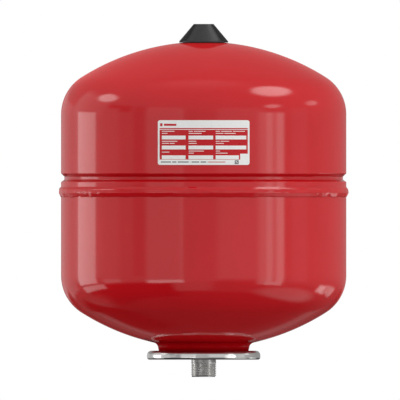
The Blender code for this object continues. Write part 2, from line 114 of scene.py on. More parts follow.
LABEL_BOTTOM_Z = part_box("rating_label")[0].z
LABEL_TOP_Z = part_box("rating_label")[1].z
LABEL_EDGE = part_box("rating_label")[1].x

SHELL_SEGMENTS = 288
BEAD_SEGMENTS = 1440
COVER_SEGMENTS = 160
THREAD_SEGMENTS = 192
CAP_SEGMENTS = 128
SMALL_SEGMENTS = 96
ROUND_STEPS = 8


# ---------------------------------------------------------------- outlines


def arc(centre, radius, start, end, steps):
    """Points on an arc; the angles turn from straight up towards the outside."""
    angles = np.linspace(start, end, steps + 1)
    return [centre + radius * complex(math.sin(a), math.cos(a)) for a in angles]


def rounded(*corners):
    """A closed outline through (radius, height, rounding) corners in millimetres."""
    outline = []
    for index, (radius, height, rounding) in enumerate(corners):
        here = complex(radius, height)
        if rounding == 0:
            outline.append(here * MM)
            continue
        before = complex(*corners[index - 1][:2]) - here
        after = complex(*corners[(index + 1) % len(corners)][:2]) - here
        outline += [point * MM for point in fillet(here, before, after, rounding)]
    return outline


def fillet(corner, before, after, rounding):
    """Arc that rounds a corner between the directions to the points before and after it."""
    before /= abs(before)
    after /= abs(after)
    half = abs(cmath.phase(after / before)) / 2
    reach = rounding / math.tan(half)
    centre = corner + (before + after) / abs(before + after) * rounding / math.sin(half)
    start = corner + before * reach - centre
    turn_angle = cmath.phase((corner + after * reach - centre) / start)
    return [
        centre + start * cmath.exp(1j * turn_angle * step / ROUND_STEPS)
        for step in range(ROUND_STEPS + 1)
    ]


def offset(path, distance):
    """The path moved sideways by distance, to its right as it is walked, with mitred corners."""
    path = np.array(path)
    along = np.diff(path)
    normals = -1j * along / np.abs(along)
    before = np.concatenate((normals[:1], normals))
    after = np.concatenate((normals, normals[-1:]))
    mitre = 1.0 + (before * after.conjugate()).real
    return list(path + distance * (before + after) / mitre)


def walled(path, thickness):
    """A closed outline: the path, and back along the other side of a wall of that thickness."""
    return list(path) + offset(path, thickness)[::-1]


def spread(outline, spacing, closed=True):
    """The outline with more points, so that none is further than spacing from the next."""
    filled = []
    for start, end in zip(outline, outline[1:] + outline[:1] if closed else outline[1:]):
        steps = max(1, math.ceil(abs(end - start) / spacing))
        filled += [start + (end - start) * step / steps for step in range(steps)]
    return filled if closed else filled + [outline[-1]]


# ---------------------------------------------------------------- pieces


def finish_piece(name, mesh, material, body, node=None):
    """Shade a mesh, link it as a piece that rides on a body, and hide the CAD node that it stands for."""
    mesh.materials.append(material)
    mesh.shade_smooth()
    mesh.set_sharp_from_angle(angle=SHARP_ANGLE)
    piece = bpy.data.objects.new(name, mesh)
    bpy.context.scene.collection.objects.link(piece)
    flats = piece.modifiers.new("flats_stay_flat", "WEIGHTED_NORMAL")
    flats.keep_sharp = True
    if body:
        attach(piece, body)
    if node:
        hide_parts(node)
    return piece


def turned_mesh(name, outline, segments, warp=None):
    """Turn a closed outline about Z; warp(radius, height, angle) may move its points at each angle."""
    outline = np.array(outline)
    angle = np.linspace(0, 2 * math.pi, segments, endpoint=False)[:, None]
    radius = np.repeat(outline.real[None, :], segments, axis=0)
    height = np.repeat(outline.imag[None, :], segments, axis=0)
    if warp:
        radius, height = warp(radius, height, angle)
    across = np.stack((radius * np.cos(angle), radius * np.sin(angle), height), axis=-1)
    count = len(outline)
    here = np.arange(segments)[:, None] * count
    there = (np.arange(1, segments + 1)[:, None] % segments) * count
    point = np.arange(count)[None, :]
    following = (point + 1) % count
    faces = np.stack((here + point, there + point, there + following, here + following), axis=-1)
    hollow = np.maximum(outline.real, np.roll(outline.real, -1)) > WELD_DISTANCE
    faces = faces[:, hollow]
    mesh = bpy.data.meshes.new(name)
    mesh.from_pydata(across.reshape(-1, 3).tolist(), [], faces.reshape(-1, 4).tolist())
    bm = bmesh.new()
    bm.from_mesh(mesh)
    if (outline.real <= WELD_DISTANCE).any():
        bmesh.ops.remove_doubles(bm, verts=bm.verts, dist=WELD_DISTANCE)
    bmesh.ops.recalc_face_normals(bm, faces=bm.faces)
    bm.to_mesh(mesh)
    bm.free()
    return mesh


def turn(node, outline, segments, material, body="vessel", warp=None):
    """A turned piece that stands for the CAD node of the same name."""
    mesh = turned_mesh(node + "_finish", outline, segments, warp)
    return finish_piece(node + "_finish", mesh, material, body, node)


def waves(angle, cycles, seed):
    """A smooth random wave round the axis, about -1 to 1, from whole numbers of cycles."""
    phases = np.random.default_rng(seed).uniform(0, 2 * math.pi, len(cycles))
    total = sum(np.sin(count * angle + phase) for count, phase in zip(cycles, phases))
    return total / math.sqrt(len(cycles) / 2) / 1.5


def smooth_step(value, low, high):
    share = np.clip((value - low) / (high - low), 0, 1)
    return share * share * (3 - 2 * share)


# ---------------------------------------------------------------- materials


class Shading:
    """A material whose nodes are added one by one around its Principled shader."""

    def __init__(self, name, colour, roughness, metallic=0.0, ior=1.5):
        self.material = bpy.data.materials.new(name + LOOK)
        self.material.use_nodes = True
        self.tree = self.material.node_tree
        self.shader = self.tree.nodes["Principled BSDF"]
        self.shader.inputs["Base Color"].default_value = (*colour, 1)
        self.shader.inputs["Roughness"].default_value = roughness
        self.shader.inputs["Metallic"].default_value = metallic
        self.shader.inputs["IOR"].default_value = ior
        self.coordinates = self.tree.nodes.new("ShaderNodeTexCoord").outputs["Object"]
        self.normal = None

    def link(self, source, target):
        self.tree.links.new(source, target)

    def stretched(self, scale):
        """Object coordinates multiplied by a scale along each axis."""
        mapping = self.tree.nodes.new("ShaderNodeMapping")
        mapping.inputs["Scale"].default_value = scale
        self.link(self.coordinates, mapping.inputs["Vector"])
        return mapping.outputs["Vector"]

    def noise(self, size, detail=2.0, stretch=None):
        """Noise from 0 to 1 whose features are about size metres across."""
        noise = self.tree.nodes.new("ShaderNodeTexNoise")
        noise.inputs["Scale"].default_value = 1 / size
        noise.inputs["Detail"].default_value = detail
        self.link(self.stretched(stretch) if stretch else self.coordinates, noise.inputs["Vector"])
        return noise.outputs["Fac"]

    def ranged(self, value, low, high, start=0.3, end=0.7):
        """The value's start and end mapped to low and high."""
        ranged = self.tree.nodes.new("ShaderNodeMapRange")
        ranged.inputs["From Min"].default_value = start
        ranged.inputs["From Max"].default_value = end
        ranged.inputs["To Min"].default_value = low
        ranged.inputs["To Max"].default_value = high
        self.link(value, ranged.inputs["Value"])
        return ranged.outputs["Result"]

    def mix_colour(self, factor, first, second):
        """Base colour between two colours; second may be a colour or the present colour's socket."""
        mix = self.tree.nodes.new("ShaderNodeMix")
        mix.data_type = "RGBA"
        self.link(factor, mix.inputs["Factor"])
        for socket, colour in ((mix.inputs["A"], first), (mix.inputs["B"], second)):
            if isinstance(colour, tuple):
                socket.default_value = (*colour, 1)
            else:
                self.link(colour, socket)
        self.link(mix.outputs["Result"], self.shader.inputs["Base Color"])
        return mix.outputs["Result"]

    def rough(self, value):
        self.link(value, self.shader.inputs["Roughness"])

    def bump(self, height, distance, strength=1.0):
        """Add a bump of that depth in metres on top of the bumps already there."""
        bump = self.tree.nodes.new("ShaderNodeBump")
        bump.inputs["Distance"].default_value = distance
        bump.inputs["Strength"].default_value = strength
        self.link(height, bump.inputs["Height"])
        if self.normal:
            self.link(self.normal, bump.inputs["Normal"])
        self.normal = bump.outputs["Normal"]
        self.link(self.normal, self.shader.inputs["Normal"])


def red_coat():
    """Gloss powder coat: slight orange peel, fine grain; painted shade in creases darkens its colour and dims its
    reflection and sheen, and painted shade takes its sheen off faces turned down.
    """
    coat = Shading("red_coat", (0.57, 0.004, 0.009), 0.09)
    shade = coat.noise(45 * MM, 3)
    colour = coat.mix_colour(coat.ranged(shade, 0, 1), (0.560, 0.0035, 0.008), (0.590, 0.0045, 0.010))
    open_sky = coat.tree.nodes.new("ShaderNodeAmbientOcclusion")
    open_sky.samples = 8
    open_sky.inputs["Distance"].default_value = 25 * MM
    sky = open_sky.outputs["AO"]
    # Painted shade: the colour turns a darker red where ambient occlusion finds creases and recesses.
    coat.mix_colour(coat.ranged(sky, 0, 1, 0.30, 1.00), (0.36, 0.001, 0.003), colour)
    # Painted shade: the reflection is dimmed where ambient occlusion finds creases.
    coat.link(coat.ranged(sky, 0.0, 0.50, 0.52, 0.76), coat.shader.inputs["Specular IOR Level"])
    # Painted shade: the red sheen fades in creases and on faces turned downwards, where less light falls.
    facing_up = coat.tree.nodes.new("ShaderNodeSeparateXYZ")
    coat.link(coat.tree.nodes.new("ShaderNodeNewGeometry").outputs["Normal"], facing_up.inputs[0])
    sheen_painted_shade = coat.tree.nodes.new("ShaderNodeMath")
    sheen_painted_shade.operation = "MULTIPLY"
    coat.link(coat.ranged(sky, 0.0, 0.76, 0.62, 0.92), sheen_painted_shade.inputs[0])
    coat.link(coat.ranged(facing_up.outputs["Z"], 0.6, 1.0, -0.9, -0.4), sheen_painted_shade.inputs[1])
    coat.link(sheen_painted_shade.outputs[0], coat.shader.inputs["Sheen Weight"])
    coat.rough(coat.ranged(coat.noise(12 * MM, 4), 0.08, 0.11))
    coat.shader.inputs["Sheen Roughness"].default_value = 0.5
    coat.shader.inputs["Sheen Tint"].default_value = (1.0, 0.02, 0.02, 1)
    coat.bump(coat.noise(2.6 * MM, 2), 0.004 * MM)
    coat.bump(coat.noise(0.5 * MM, 1), 0.0006 * MM)
    return coat.material


def galvanised_steel():
    """Zinc plated pressed steel: satin, with faint drawing marks round the axis and slight clouds."""
    zinc = Shading("galvanised_steel", (0.55, 0.545, 0.535), 0.18, metallic=1.0)
    clouds = zinc.noise(9 * MM, 3)
    zinc.mix_colour(zinc.ranged(clouds, 0, 1), (0.52, 0.515, 0.505), (0.58, 0.575, 0.565))
    zinc.rough(zinc.ranged(zinc.noise(5 * MM, 3), 0.09, 0.13))
    zinc.bump(zinc.noise(8 * MM, 2, (1, 1, 10)), 0.004 * MM)
    return zinc.material


def turned_steel():
    """Bare turned steel with fine tool marks round the axis, painted darker above the thread's end as painted
    shade under the cover.
    """
    steel = Shading("turned_steel", (0.56, 0.55, 0.54), 0.24, metallic=1.0)
    metal = steel.mix_colour(steel.ranged(steel.noise(6 * MM, 3), 0, 1), (0.52, 0.51, 0.50), (0.60, 0.59, 0.575))
    height = steel.tree.nodes.new("ShaderNodeSeparateXYZ")
    steel.link(steel.coordinates, height.inputs[0])
    # Painted shade: above the thread's end, under the cover, the steel turns dark grey.
    clear_of_painted_shade = steel.ranged(height.outputs["Z"], 1, 0, THREAD_END_Z - 0.4 * MM, THREAD_END_Z + 0.6 * MM)
    steel.mix_colour(clear_of_painted_shade, (0.24, 0.235, 0.23), metal)
    steel.rough(steel.ranged(steel.noise(3 * MM, 3), 0.20, 0.28))
    steel.bump(steel.noise(5 * MM, 2, (1, 1, 20)), 0.0015 * MM)
    return steel.material


def brass():
    metal = Shading("brass", (0.72, 0.53, 0.25), 0.26, metallic=1.0)
    metal.mix_colour(metal.ranged(metal.noise(2 * MM, 4), 0, 1), (0.62, 0.44, 0.20), (0.78, 0.59, 0.30))
    metal.rough(metal.ranged(metal.noise(1 * MM, 3), 0.20, 0.34))
    metal.bump(metal.noise(3 * MM, 3, (1, 1, 40)), 0.006 * MM)
    return metal.material


def spring_steel():
    wire = Shading("spring_steel", (0.50, 0.50, 0.50), 0.26, metallic=1.0)
    wire.rough(wire.ranged(wire.noise(0.3 * MM, 3), 0.20, 0.36))
    return wire.material


def black_rubber():
    """Moulded rubber: matt, faintly mottled, with a fine grain."""
    rubber = Shading("black_rubber", (0.020, 0.020, 0.022), 0.62)
    rubber.mix_colour(rubber.ranged(rubber.noise(15 * MM, 4), 0, 1), (0.016, 0.016, 0.017), (0.028, 0.028, 0.030))
    rubber.rough(rubber.ranged(rubber.noise(6 * MM, 3), 0.52, 0.72))
    rubber.bump(rubber.noise(0.8 * MM, 2), 0.02 * MM)
    return rubber.material


def black_plastic():
    """Dark grey moulding with the fine pitted grain of a spark-eroded tool, dull at shallow angles."""
    plastic = Shading("black_plastic", (0.020, 0.020, 0.021), 0.42)
    grain = plastic.noise(1.3 * MM, 3)
    plastic.mix_colour(plastic.ranged(grain, 0, 1), (0.010, 0.010, 0.011), (0.030, 0.030, 0.032))
    plastic.rough(plastic.ranged(plastic.noise(2 * MM, 3), 0.36, 0.48))
    plastic.bump(plastic.noise(1.1 * MM, 3), 0.06 * MM)
    shallow = plastic.tree.nodes.new("ShaderNodeLayerWeight").outputs["Facing"]
    plastic.link(plastic.ranged(shallow, 0.5, 0.05, 0.38, 0.50), plastic.shader.inputs["Specular IOR Level"])
    return plastic.material


def print_material(name, colour, spread_by, ior):
    """Printed foil: the ink's slight mottle under a thin clear gloss."""
    ink = Shading(name, colour, 0.30, ior=ior)
    darker = tuple(value * (1 - spread_by) for value in colour)
    ink.mix_colour(ink.ranged(ink.noise(1.4 * MM, 4), 0, 1), darker, colour)
    ink.rough(ink.ranged(ink.noise(5 * MM, 3), 0.26, 0.36))
    ink.bump(ink.noise(9 * MM, 2), 0.03 * MM)
    return ink.material


# ---------------------------------------------------------------- shells and seam


def make_upper_shell(material):
    """Head with the valve hole, cylinder, rolled-in groove, and the band down to the seam."""
    hole_angle = math.asin(10.3 * MM / CROWN_RADIUS)
    outside = arc(1j * (TOP_Z - CROWN_RADIUS), CROWN_RADIUS, hole_angle, KNUCKLE_ANGLE, 40)
    knuckle_centre = complex(SHELL_RADIUS - KNUCKLE_RADIUS, UPPER_TANGENT_Z)
    outside += arc(knuckle_centre, KNUCKLE_RADIUS, KNUCKLE_ANGLE, math.pi / 2, 36)[1:]
    top = complex(SHELL_RADIUS, GROOVE_TOP_Z)
    upper = complex(SHELL_RADIUS - GROOVE_DEPTH, GROOVE_TOP_Z - 3.4 * MM)
    lower = complex(SHELL_RADIUS - GROOVE_DEPTH, GROOVE_BOTTOM_Z + 2.4 * MM)
    bottom = complex(SHELL_RADIUS, GROOVE_BOTTOM_Z)
    outside += fillet(top, 1j, upper - top, 1.1 * MM)
    outside += fillet(upper, top - upper, lower - upper, 0.8 * MM)
    outside += fillet(lower, upper - lower, bottom - lower, 0.9 * MM)
    outside += fillet(bottom, lower - bottom, -1j, 0.9 * MM)
    outside.append(complex(SHELL_RADIUS, UPPER_EDGE_Z))
    turn("upper_shell", spread(walled(outside, SHELL_WALL), 6 * MM), SHELL_SEGMENTS, material)


def make_lower_shell(material):
    """Lap, joggle, cylinder, head, and the neck with its flared lip, from the top down."""
    joggle_top = complex(LAP_RADIUS, 194.2 * MM)
    joggle_foot = complex(SHELL_RADIUS, 190.8 * MM)
    outside = [complex(LAP_RADIUS, LAP_TOP_Z)]
    outside += fillet(joggle_top, 1j, joggle_foot - joggle_top, 1.5 * MM)
    outside += fillet(joggle_foot, joggle_top - joggle_foot, -1j, 1.5 * MM)
    knuckle_centre = complex(SHELL_RADIUS - KNUCKLE_RADIUS, LOWER_TANGENT_Z)
    outside += arc(knuckle_centre, KNUCKLE_RADIUS, math.pi / 2, math.pi - KNUCKLE_ANGLE, 36)
    neck_edge = 54.5 * MM
    crown_centre = 1j * (BOTTOM_Z + CROWN_RADIUS)
    crown_end = math.pi - math.asin(neck_edge / CROWN_RADIUS)
    outside += arc(crown_centre, CROWN_RADIUS, math.pi - KNUCKLE_ANGLE, crown_end, 30)[1:]
    neck_corner = complex(48.9 * MM, 35.3 * MM)
    neck_foot = complex(46.6 * MM, LIP_TOP_Z)
    outside += fillet(neck_corner, outside[-1] - neck_corner, neck_foot - neck_corner, 5.6 * MM)
    outside += fillet(neck_foot, neck_corner - neck_foot, 1 + 0j, 1.6 * MM)
    outside.append(complex(LIP_RADIUS, LIP_TOP_Z))
    turn("lower_shell", spread(walled(outside, SHELL_WALL), 6 * MM), SHELL_SEGMENTS, material)


def zigzag(angle, cycles):
    """A triangular wave round the axis, -1 to 1."""
    return np.abs((cycles * angle / (2 * math.pi)) % 1.0 * 4 - 2) - 1


def make_seam_weld(material):
    """Lap weld: a shoulder, a crest that turns sharply under, and ripples where the welder lingered."""
    inner = SHELL_RADIUS + 0.05 * MM
    foot, crest, shoulder, top = BEAD_BOTTOM_Z - 0.4 * MM, 193.6 * MM, 197.4 * MM, 200.0 * MM
    corners = (
        complex(inner, foot),
        complex(inner + 0.6 * MM, foot + 0.6 * MM),
        complex(inner + BEAD_HEIGHT, crest),
        complex(inner + BEAD_HEIGHT - 0.35 * MM, shoulder),
        complex(inner, top),
    )
    bead = [corners[0]]
    for before, corner, after, rounding in zip(corners, corners[1:], corners[2:], (0.4, 2.6, 2.6)):
        bead += fillet(corner, before - corner, after - corner, rounding * MM)
    bead.append(corners[-1])
    bead = spread(bead, 0.36 * MM, closed=False)
    root = [
        complex(inner, UPPER_EDGE_Z - 0.3 * MM),
        complex(LAP_RADIUS + 0.45 * MM, UPPER_EDGE_Z - 0.3 * MM),
        complex(inner, 191.2 * MM),
    ]
    knots = (foot, crest, shoulder, top)

    def lumps(radius, height, angle):
        outer = np.arange(radius.shape[1])[None, :] < len(bead)
        at_foot = np.interp(height, knots, (1, 0, 0, 0))
        at_crest = np.interp(height, (crest - 1.4 * MM, crest + 0.6 * MM, crest + 2.8 * MM), (0, 1, 0))
        at_shoulder = np.interp(height, knots, (0, 0, 1, 0))
        lively = np.zeros_like(angle)
        for centre, half_width, strength in WELD_RIPPLES:
            away = np.degrees(np.abs(np.angle(np.exp(1j * (angle - math.radians(centre - 90))))))
            lively = np.maximum(lively, strength * (1 - smooth_step(away, 0.6 * half_width, half_width)))
        ripple = np.sin(1.4 * zigzag(angle + 0.014 * waves(angle, range(11, 60, 7), 4), 104))
        wander = waves(angle, range(5, 40, 4), 5)
        stir = 0.9 * ripple + 0.5 * waves(angle, range(20, 80, 9), 6)
        crest_shift = (0.30 * wander + (0.5 + stir) * lively) * MM
        edge = waves(angle, range(30, 150, 13), 21) * (0.4 + 0.8 * lively)
        foot_shift = (0.30 * edge + 0.25 * wander) * MM
        shoulder_shift = 0.55 * MM * waves(angle, range(5, 38, 4), 9)
        moved = height + at_crest * crest_shift + at_foot * foot_shift + at_shoulder * shoulder_shift
        swell = 0.93 + 0.06 * waves(angle, range(7, 70, 6), 3) - 0.03 * lively * (1 + ripple)
        rise = np.clip((radius - inner) * swell, 0, BEAD_HEIGHT)
        return np.where(outer, inner + rise, radius), np.where(outer, moved, height)

    turn("seam_weld", bead + root, BEAD_SEGMENTS, material, warp=lumps)


# ---------------------------------------------------------------- bottom: cover, nipple, bladder


def make_cover_flange(material):
    """A pressed plate, its rim turned up and rolled back in over the lip."""
    bottom, top = COVER_BOTTOM_Z, COVER_TOP_Z
    outer = COVER_RADIUS
    rolled = complex(49.2 * MM, top)
    outside = [rolled]
    outside += fillet(complex(outer, top), rolled - complex(outer, top), -1j, 4.8 * MM)
    outside += fillet(complex(outer, bottom), 1j, -1 + 0j, 2.5 * MM)
    outside.append(complex(NIPPLE_RADIUS + 0.1 * MM, bottom))
    turn("cover_flange", walled(outside, COVER_PLATE), COVER_SEGMENTS, material)


def make_connection_nipple(material):
    """A tube with a rolled-out helical thread, a plain collar above it and a chamfered mouth."""
    top, outer, bore = NIPPLE_TOP_Z, NIPPLE_RADIUS, NIPPLE_BORE
    outline = [complex(bore, top), complex(bore, 0.5 * MM), complex(bore + 0.5 * MM, 0.0)]
    mouth_to_top = [complex(outer - 1.3 * MM, 0.0), complex(outer, 1.5 * MM), complex(outer, top)]
    outline += spread(mouth_to_top, THREAD_PITCH / 28, closed=False)

    def thread(radius, height, angle):
        turns = height / THREAD_PITCH - angle / (2 * math.pi)
        flank = np.abs((turns % 1.0) * 2 - 1)
        tooth = smooth_step(flank, 0.10, 0.90)
        run_out = 1 - smooth_step(height, THREAD_END_Z - THREAD_PITCH, THREAD_END_Z)
        groove = outer - THREAD_DEPTH * (1 - tooth) * run_out
        outside = radius > bore + 0.6 * MM
        collar = 0.3 * MM * smooth_step(height, THREAD_END_Z - 0.6 * MM, THREAD_END_Z + 0.2 * MM)
        return np.where(outside, np.minimum(radius, groove - collar), radius), height

    turn("connection_nipple", outline, THREAD_SEGMENTS, material, warp=thread)


def make_nipple_weld(material):
    foot, inner = COVER_BOTTOM_Z + COVER_PLATE + 0.1 * MM, NIPPLE_RADIUS + 0.1 * MM
    leg = 3.4 * MM
    outline = [complex(inner, foot), complex(inner + leg, foot)]
    outline += [
        complex(inner + leg * (1 - share), foot + 0.45 * leg * share ** 1.8)
        for share in np.linspace(0.1, 1.0, 10)
    ]

    def ripples(radius, height, angle):
        out = (radius - inner) / leg
        return radius + 0.12 * MM * np.sin(46 * angle + 3 * out) * out * (1 - out) * 4, height

    turn("nipple_weld", outline, COVER_SEGMENTS, material, warp=ripples)


def make_bladder(material):
    """Clamped rim, neck and balloon with shallow moulding ribs."""
    neck, rim_top, balloon_radius, centre = 45.1 * MM, 23.3 * MM, 105 * MM, 130j * MM
    outside = [complex(56.5 * MM, rim_top)]
    outside += arc(complex(neck + 3 * MM, rim_top + 3 * MM), 3 * MM, -math.pi, -math.pi / 2, 8)
    mouth = math.pi - math.asin(neck / balloon_radius)
    outside += arc(centre, balloon_radius, mouth, 0.0, 96)
    inside = offset(outside, -2 * MM)
    inside[0] = complex(56.5 * MM, rim_top - 2.5 * MM)
    inside[1] = complex(inside[1].real, rim_top - 2.5 * MM)
    inside[-1] = complex(0.0, inside[-1].imag)
    outside[-1] = complex(0.0, outside[-1].imag)

    def ribs(radius, height, angle):
        belly = smooth_step(height, 60 * MM, 110 * MM) * (1 - smooth_step(height, 190 * MM, 225 * MM))
        return radius - 0.5 * MM * belly * np.cos(12 * angle) ** 8, height

    mesh = turned_mesh("bladder_finish", outside + inside[::-1], 192, ribs)
    piece = finish_piece("bladder_finish", mesh, material, None, "bladder")
    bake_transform(piece)


# ---------------------------------------------------------------- gas valve, heights above the dome's top


def on_valve(outline):
    return [point + 1j * TOP_Z for point in outline]


def make_valve_fittings(steel, red, rubber):
    """Socket, its weld, coated with the shell, and the stem's gasket."""
    socket = rounded((5.1, -12, 0), (10, -12, 0.4), (10, 1.5, 0.5), (5.1, 1.5, 0.2))
    turn("valve_socket", on_valve(socket), SMALL_SEGMENTS, steel)
    weld = [complex(10.1, 0.15) * MM, complex(12.9, 0.0) * MM]
    weld += [
        complex(10.1 + 2.8 * (1 - share), 0.05 + 1.15 * share ** 1.7) * MM
        for share in np.linspace(0.1, 1.0, 10)
    ]

    def ripples(radius, height, angle):
        out = (radius / MM - 10.1) / 2.8
        return radius + 0.10 * MM * np.sin(34 * angle + 3 * out) * out * (1 - out) * 4, height

    turn("socket_weld", on_valve(weld), COVER_SEGMENTS, red, warp=ripples)
    gasket = rounded((5.1, 1.6, 0), (7.2, 1.6, 0.3), (7.2, 3.0, 0.3), (5.1, 3.0, 0))
    turn("stem_gasket", on_valve(gasket), SMALL_SEGMENTS, rubber)


def make_valve_stem(metal):
    """Hexagon, 8V1 thread and stepped bore."""
    outline = rounded(
        (2.15, -11, 0), (4.8, -11, 0.4), (4.8, 3.1, 0), (8.0, 3.1, 0.3), (8.0, 5.1, 0.3),
        (4.2, 5.1, 0.4), (3.5, 6.0, 0.2), (3.5, 6.4, 0), (3.85, 6.8, 0), (3.85, 10.5, 0), (3.4, 11.0, 0),
        (2.75, 11.0, 0.15), (2.75, 1.0, 0), (2.15, 0.0, 0),
    )
    pitch, depth = 0.79375 * MM, 0.45 * MM

    def hexagon_and_thread(radius, height, angle):
        sixth = (angle % (math.pi / 3)) - math.pi / 6
        flat = 7.0 * MM / np.cos(sixth)
        above = height - TOP_Z
        hexagon = (above > 3.0 * MM) & (above < 5.2 * MM)
        radius = np.where(hexagon, np.minimum(radius, flat), radius)
        flank = np.abs(((above / pitch - angle / (2 * math.pi)) % 1.0) * 2 - 1)
        threaded = (above > 6.6 * MM) & (radius > 3.3 * MM)
        groove = 3.85 * MM - depth * (1 - smooth_step(flank, 0.1, 0.9))
        return np.where(threaded, np.minimum(radius, groove), radius), height

    outline = spread(on_valve(outline), pitch / 10)
    turn("valve_stem", outline, SMALL_SEGMENTS, metal, warp=hexagon_and_thread)


def make_valve_core(metal, rubber, wire):
    """Plug, barrel, gasket, pin, cup, seat washer and spring of the core in the stem's bore."""
    plug = rounded((0.85, 3.9, 0), (2.5, 3.9, 0.2), (2.5, 9.9, 0.2), (0.85, 9.9, 0.1))

    def slot(radius, height, angle):
        """The tool's slot across the top: points over it sink to its floor."""
        across = np.abs(radius * np.sin(angle))
        floor = TOP_Z + (9.9 - 1.6) * MM
        return radius, np.where(across < 0.6 * MM, np.minimum(height, floor), height)

    turn("core_plug", spread(on_valve(plug), 0.2 * MM), SMALL_SEGMENTS, metal, warp=slot)
    barrel = rounded(
        (0.65, -7.5, 0), (1.6, -7.5, 0.15), (1.6, 3.7, 0.15), (1.15, 3.7, 0), (1.15, -7.1, 0), (0.65, -7.1, 0)
    )
    turn("core_barrel", on_valve(barrel), SMALL_SEGMENTS, metal)
    gasket = rounded((1.65, 1.2, 0), (2.1, 1.2, 0.15), (2.12, 3.5, 0.15), (1.65, 3.5, 0))
    turn("core_gasket", on_valve(gasket), SMALL_SEGMENTS, rubber)
    pin = rounded(
        (0, -9.5, 0), (0.4, -9.5, 0.1), (0.4, 2.6, 0), (1.0, 2.6, 0.08), (1.0, 3.0, 0.08),
        (0.4, 3.0, 0), (0.4, 10.6, 0.2), (0, 10.6, 0),
    )
    turn("core_pin", on_valve(pin), SMALL_SEGMENTS, metal, "core_pin")
    cup = rounded(
        (0.45, -9.1, 0), (1.9, -9.1, 0.2), (1.9, -8.1, 0), (1.7, -8.1, 0), (1.7, -8.6, 0), (0.45, -8.6, 0)
    )
    turn("core_cup", on_valve(cup), SMALL_SEGMENTS, metal, "core_pin")
    washer = rounded((0.45, -8.5, 0), (1.6, -8.5, 0.1), (1.6, -7.8, 0.1), (0.45, -7.8, 0))
    turn("core_seat_washer", on_valve(washer), SMALL_SEGMENTS, rubber, "core_pin")
    make_core_spring(wire)


def make_core_spring(material):
    """Round wire coiled between the barrel's ledge and the pin's collar."""
    bottom, top, coil, wire, turns, steps = -6.9 * MM, 2.4 * MM, 0.8 * MM, 0.11 * MM, 8, 28
    bm = bmesh.new()
    rings = []
    for step in range(turns * steps + 1):
        share = step / (turns * steps)
        angle = 2 * math.pi * step / steps
        height = TOP_Z + bottom + (top - bottom) * share
        ring = []
        for side in range(10):
            around = 2 * math.pi * side / 10
            out = coil + wire * math.cos(around)
            point = (out * math.cos(angle), out * math.sin(angle), height + wire * math.sin(around))
            ring.append(bm.verts.new(point))
        rings.append(ring)
    for low, high in zip(rings, rings[1:]):
        for side in range(10):
            bm.faces.new((low[side], low[side - 9], high[side - 9], high[side]))
    bm.faces.new(rings[0][::-1])
    bm.faces.new(rings[-1])
    bmesh.ops.recalc_face_normals(bm, faces=bm.faces)
    mesh = bpy.data.meshes.new("core_spring_finish")
    bm.to_mesh(mesh)
    bm.free()
    piece = finish_piece("core_spring_finish", mesh, material, "vessel", "core_spring")
    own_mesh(piece)


def make_dust_cap(plastic, rubber):
    """Small screwed cap with grip ribs round its side, and the disc that seals it."""
    cap = rounded(
        (0, 12.6, 0), (5.0, 12.6, 0.7), (5.0, 5.6, 0.2), (4.15, 5.6, 0.15), (4.15, 11.8, 0.3), (0, 11.8, 0)
    )

    def ribs(radius, height, angle):
        above = (height - TOP_Z) / MM
        side = smooth_step(above, 6.0, 6.5) * (1 - smooth_step(above, 11.4, 11.9))
        grooves = 0.5 - 0.5 * np.cos(24 * angle)
        return np.where(radius > 4.6 * MM, radius - 0.22 * MM * side * grooves ** 2, radius), height

    turn("dust_cap", spread(on_valve(cap), 0.5 * MM), 192, plastic, "dust_cap", ribs)
    seal = rounded((0, 11.15, 0), (3.9, 11.15, 0.1), (3.9, 11.7, 0.1), (0, 11.7, 0))
    turn("dust_cap_seal", on_valve(seal), SMALL_SEGMENTS, rubber, "dust_cap_seal")


def make_protective_cap(material):
    """Hollow cone with a lip round its foot and a sleeve that grips the hexagon."""
    outline = rounded(
        (0, 18.65, 0), (10.4, 18.65, 0.7), (25.4, 0.8, 0.35), (25.7, 0.8, 0.15), (25.7, -0.9, 0.3),
        (24.6, -0.9, 0.3), (10.3, 16.6, 0.8), (9.6, 16.6, 0.5), (9.6, 2.9, 0.3), (8.4, 2.9, 0.3),
        (8.4, 17.4, 0.4), (0, 17.4, 0),
    )
    turn("protective_cap", on_valve(outline), CAP_SEGMENTS, material, "protective_cap")


# ---------------------------------------------------------------- label


def bent_plate(bm, left, right, bottom, top, inner, outer, corner=0.0):
    """A closed plate bent round the shell's front; left and right are lengths along the arc, in mm."""
    columns = [left]
    if corner:
        columns = list(left + corner * (1 - np.cos(np.linspace(0, math.pi / 2, 7))))
    middle = np.linspace(columns[-1], right - (columns[-1] - left), max(3, int((right - left) / 2.5)))
    columns = columns[:-1] + list(middle)
    if corner:
        columns += [left + right - column for column in columns[:6][::-1]]
    rows = []
    for column in columns:
        inset = min(column - left, right - column, corner)
        cut = corner - math.sqrt(max(corner ** 2 - (corner - inset) ** 2, 0)) if corner else 0
        angle = column * MM / SHELL_RADIUS
        ring = []
        for radius, height in (
            (inner, bottom + cut), (outer, bottom + cut), (outer, top - cut), (inner, top - cut)
        ):
            far = SHELL_RADIUS + radius * MM
            ring.append(bm.verts.new((far * math.sin(angle), -far * math.cos(angle), height * MM)))
        rows.append(ring)
    for first, second in zip(rows, rows[1:]):
        for side in range(4):
            bm.faces.new((first[side], first[side - 3], second[side - 3], second[side]))
    bm.faces.new(rows[0][::-1])
    bm.faces.new(rows[-1])


def label_layer(name, plates, inner, outer, material, node=None, corner=0.0):
    """One layer of the label: plates as (left, right, bottom, top) in millimetres."""
    bm = bmesh.new()
    for left, right, bottom, top in plates:
        bent_plate(bm, left, right, bottom, top, inner, outer, corner)
    bmesh.ops.recalc_face_normals(bm, faces=bm.faces)
    mesh = bpy.data.meshes.new(name)
    bm.to_mesh(mesh)
    bm.free()
    return finish_piece(name, mesh, material, "vessel", node)


